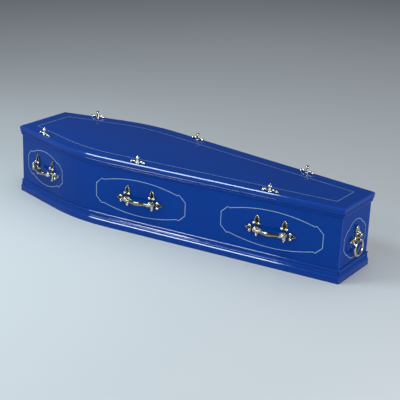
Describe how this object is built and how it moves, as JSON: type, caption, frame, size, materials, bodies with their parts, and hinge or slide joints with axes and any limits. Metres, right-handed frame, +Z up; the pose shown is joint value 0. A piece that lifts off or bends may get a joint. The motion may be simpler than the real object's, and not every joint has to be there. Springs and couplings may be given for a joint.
{
  "type": "coffin",
  "caption": "Closed coffin with curved shoulders: hollow lacquered box on a plinth moulding, lift-off lid with thumb screws, bar handles on the sides and a drop ring at each end.",
  "frame": {"origin": "on the floor under the middle of the coffin's outline, at the foot of the plinth moulding", "axes": "+X runs from the head end to the foot end, +Y to the occupant's left, +Z up"},
  "size_m": [1.9756, 0.617, 0.4053],
  "materials": {
    "blue_lacquer": "high-gloss royal blue lacquer on board, with painted gold lines",
    "pale_gold": "polished pale gold plate"
  },
  "bodies": {
    "coffin": {"base_board": "blue_lacquer", "side_board_left": "blue_lacquer", "side_board_right": "blue_lacquer", "head_board": "blue_lacquer", "foot_board": "blue_lacquer", "lid_board": "blue_lacquer", "base_moulding_left": "blue_lacquer", "base_moulding_right": "blue_lacquer", "base_moulding_head": "blue_lacquer", "base_moulding_foot": "blue_lacquer", "lid_moulding_left": "blue_lacquer", "lid_moulding_right": "blue_lacquer", "lid_moulding_head": "blue_lacquer", "lid_moulding_foot": "blue_lacquer", "lid_wreath_1": "pale_gold", "lid_wreath_2": "pale_gold", "lid_wreath_3": "pale_gold", "lid_wreath_4": "pale_gold", "lid_wreath_5": "pale_gold", "lid_wreath_6": "pale_gold", "lid_screw_1": "pale_gold", "lid_screw_2": "pale_gold", "lid_screw_3": "pale_gold", "lid_screw_4": "pale_gold", "lid_screw_5": "pale_gold", "lid_screw_6": "pale_gold", "handle_plate_right_head_a": "pale_gold", "handle_plate_right_head_b": "pale_gold", "handle_plate_right_middle_a": "pale_gold", "handle_plate_right_middle_b": "pale_gold", "handle_plate_right_foot_a": "pale_gold", "handle_plate_right_foot_b": "pale_gold", "handle_plate_left_head_a": "pale_gold", "handle_plate_left_head_b": "pale_gold", "handle_plate_left_middle_a": "pale_gold", "handle_plate_left_middle_b": "pale_gold", "handle_plate_left_foot_a": "pale_gold", "handle_plate_left_foot_b": "pale_gold", "handle_bar_right_head": "pale_gold", "handle_bar_right_middle": "pale_gold", "handle_bar_right_foot": "pale_gold", "handle_bar_left_head": "pale_gold", "handle_bar_left_middle": "pale_gold", "handle_bar_left_foot": "pale_gold", "ring_plate_head": "pale_gold", "ring_plate_foot": "pale_gold"},
    "head_ring": {"drop_ring_head": "pale_gold"},
    "foot_ring": {"drop_ring_foot": "pale_gold"}
  },
  "joints": [
    {"name": "head_ring_swing", "type": "hinge", "parent": "coffin", "child": "head_ring", "pos_m": [-0.9778, 0, 0.176], "axis": [0, 1, 0], "range_deg": [-8, 170]},
    {"name": "foot_ring_swing", "type": "hinge", "parent": "coffin", "child": "foot_ring", "pos_m": [0.9778, 0, 0.176], "axis": [0, -1, 0], "range_deg": [-8, 170]}
  ]
}
